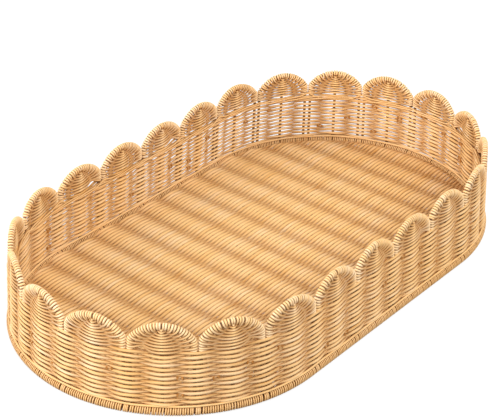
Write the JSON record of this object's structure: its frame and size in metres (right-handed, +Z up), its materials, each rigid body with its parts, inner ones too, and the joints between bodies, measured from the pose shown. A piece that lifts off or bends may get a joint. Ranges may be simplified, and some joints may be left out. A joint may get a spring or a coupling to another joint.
{
  "type": "changing basket",
  "caption": "Low woven cane changing basket with rounded ends, an upright wall, a scalloped rim of bound arches, a wound base hoop and a flat woven floor.",
  "frame": {"origin": "on the floor under the middle of the basket", "axes": "+X along the basket's length, +Y across it towards the far side, +Z up"},
  "size_m": [0.7842, 0.4424, 0.128],
  "materials": {
    "cane": "natural honey cane cord, smooth with a soft gloss",
    "rim_cane": "the same cane cord, a little paler where it is wound over the rim and the base hoop",
    "frame_wire": "brown painted steel wire"
  },
  "bodies": {
    "root": {"base_frame": "frame_wire", "base_wrap": "rim_cane", "floor_weave": "cane", "inner_waling": "cane", "wall_weave_front": "cane", "wall_weave_right": "cane", "wall_weave_back": "cane", "wall_weave_left": "cane", "arch_frame_01": "frame_wire", "arch_frame_02": "frame_wire", "arch_frame_03": "frame_wire", "arch_frame_04": "frame_wire", "arch_frame_05": "frame_wire", "arch_frame_06": "frame_wire", "arch_frame_07": "frame_wire", "arch_frame_08": "frame_wire", "arch_frame_09": "frame_wire", "arch_frame_10": "frame_wire", "arch_frame_11": "frame_wire", "arch_frame_12": "frame_wire", "arch_frame_13": "frame_wire", "arch_frame_14": "frame_wire", "arch_frame_15": "frame_wire", "arch_frame_16": "frame_wire", "arch_frame_17": "frame_wire", "arch_frame_18": "frame_wire", "arch_frame_19": "frame_wire", "arch_frame_20": "frame_wire", "arch_frame_21": "frame_wire", "arch_frame_22": "frame_wire", "arch_frame_23": "frame_wire", "arch_frame_24": "frame_wire", "scallop_weave_01": "rim_cane", "scallop_weave_02": "rim_cane", "scallop_weave_03": "rim_cane", "scallop_weave_04": "rim_cane", "scallop_weave_05": "rim_cane", "scallop_weave_06": "rim_cane", "scallop_weave_07": "rim_cane", "scallop_weave_08": "rim_cane", "scallop_weave_09": "rim_cane", "scallop_weave_10": "rim_cane", "scallop_weave_11": "rim_cane", "scallop_weave_12": "rim_cane", "scallop_weave_13": "rim_cane", "scallop_weave_14": "rim_cane", "scallop_weave_15": "rim_cane", "scallop_weave_16": "rim_cane", "scallop_weave_17": "rim_cane", "scallop_weave_18": "rim_cane", "scallop_weave_19": "rim_cane", "scallop_weave_20": "rim_cane", "scallop_weave_21": "rim_cane", "scallop_weave_22": "rim_cane", "scallop_weave_23": "rim_cane", "scallop_weave_24": "rim_cane"}
  },
  "joints": []
}
